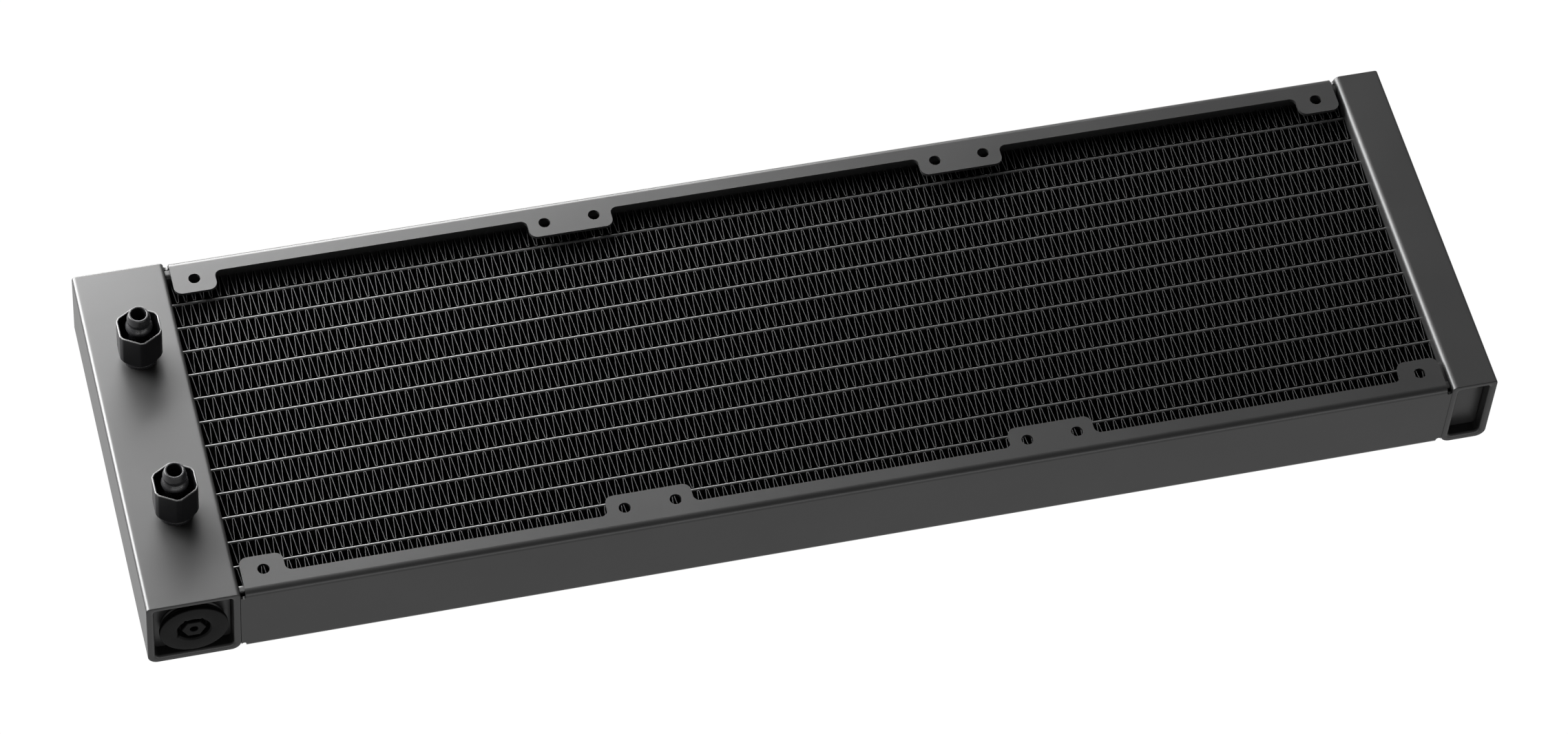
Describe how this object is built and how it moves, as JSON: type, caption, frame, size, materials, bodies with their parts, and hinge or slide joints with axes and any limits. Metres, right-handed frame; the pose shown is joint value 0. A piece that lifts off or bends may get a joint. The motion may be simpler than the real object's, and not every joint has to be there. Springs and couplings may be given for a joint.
{
  "type": "liquid cooling radiator",
  "caption": "Flat black liquid cooling radiator: finned tube core between a wide and a narrow tank, tabbed side plates, hose fittings and a service plug.",
  "frame": {"origin": "under the middle of the radiator, on the plane of its underside", "axes": "+X along the tubes from the wide tank to the narrow one, +Y from the plug end of the tanks to the other end, +Z the way the hose fittings point"},
  "size_m": [0.402, 0.12, 0.0472],
  "materials": {
    "tank_coat": "satin black powder coat on aluminium",
    "plate_coat": "satin black powder coat on folded aluminium sheet",
    "tube_coat": "thin semi-gloss black paint on aluminium",
    "fin_coat": "thin semi-gloss black paint on aluminium foil",
    "stem_coat": "satin black plating on turned brass",
    "sleeve_coat": "matte black plating on machined metal",
    "spring_steel": "blackened spring steel",
    "plug_plastic": "matte black moulding",
    "gasket_rubber": "smooth black rubber",
    "bare_aluminium": "plain mill finish, out of sight"
  },
  "bodies": {
    "radiator": {"left_tank_shell": "tank_coat", "right_tank_shell": "tank_coat", "left_cap_front": "tank_coat", "left_cap_rear": "tank_coat", "right_cap_front": "tank_coat", "right_cap_rear": "tank_coat", "tank_baffle": "bare_aluminium", "side_plate_front": "plate_coat", "side_plate_rear": "plate_coat", "side_rail_front": "plate_coat", "side_rail_rear": "plate_coat", "fitting_stem_rear": "stem_coat", "fitting_stem_front": "stem_coat", "sleeve_clips": "spring_steel", "flat_tube_01": "tube_coat", "flat_tube_02": "tube_coat", "flat_tube_03": "tube_coat", "flat_tube_04": "tube_coat", "flat_tube_05": "tube_coat", "flat_tube_06": "tube_coat", "flat_tube_07": "tube_coat", "flat_tube_08": "tube_coat", "flat_tube_09": "tube_coat", "flat_tube_10": "tube_coat", "flat_tube_11": "tube_coat", "flat_tube_12": "tube_coat", "fin_strip_01": "fin_coat", "fin_strip_02": "fin_coat", "fin_strip_03": "fin_coat", "fin_strip_04": "fin_coat", "fin_strip_05": "fin_coat", "fin_strip_06": "fin_coat", "fin_strip_07": "fin_coat", "fin_strip_08": "fin_coat", "fin_strip_09": "fin_coat", "fin_strip_10": "fin_coat", "fin_strip_11": "fin_coat", "fin_strip_12": "fin_coat", "fin_strip_13": "fin_coat"},
    "rear_sleeve": {"hex_sleeve_rear": "sleeve_coat"},
    "front_sleeve": {"hex_sleeve_front": "sleeve_coat"},
    "plug_washer": {"plug_gasket": "gasket_rubber"},
    "plug": {"service_plug": "plug_plastic"}
  },
  "joints": [
    {"name": "rear_sleeve_turn", "type": "hinge", "parent": "radiator", "child": "rear_sleeve", "pos_m": [-0.1865, 0.028, 0.0286], "axis": [0, 0, 1], "continuous": true},
    {"name": "front_sleeve_turn", "type": "hinge", "parent": "radiator", "child": "front_sleeve", "pos_m": [-0.1865, -0.028, 0.0286], "axis": [0, 0, 1], "continuous": true},
    {"name": "plug_travel", "type": "slide", "parent": "radiator", "child": "plug_washer", "axis": [0, -1, 0], "range_m": [0, 0.009]},
    {"name": "plug_turn", "type": "hinge", "parent": "plug_washer", "child": "plug", "pos_m": [-0.1875, -0.055, 0.0134], "axis": [0, -1, 0], "range_deg": [0, 2160]}
  ],
  "couplings": [
    {"joint": "plug_turn", "follows": "plug_travel", "rad_per_m": 4188.8}
  ]
}
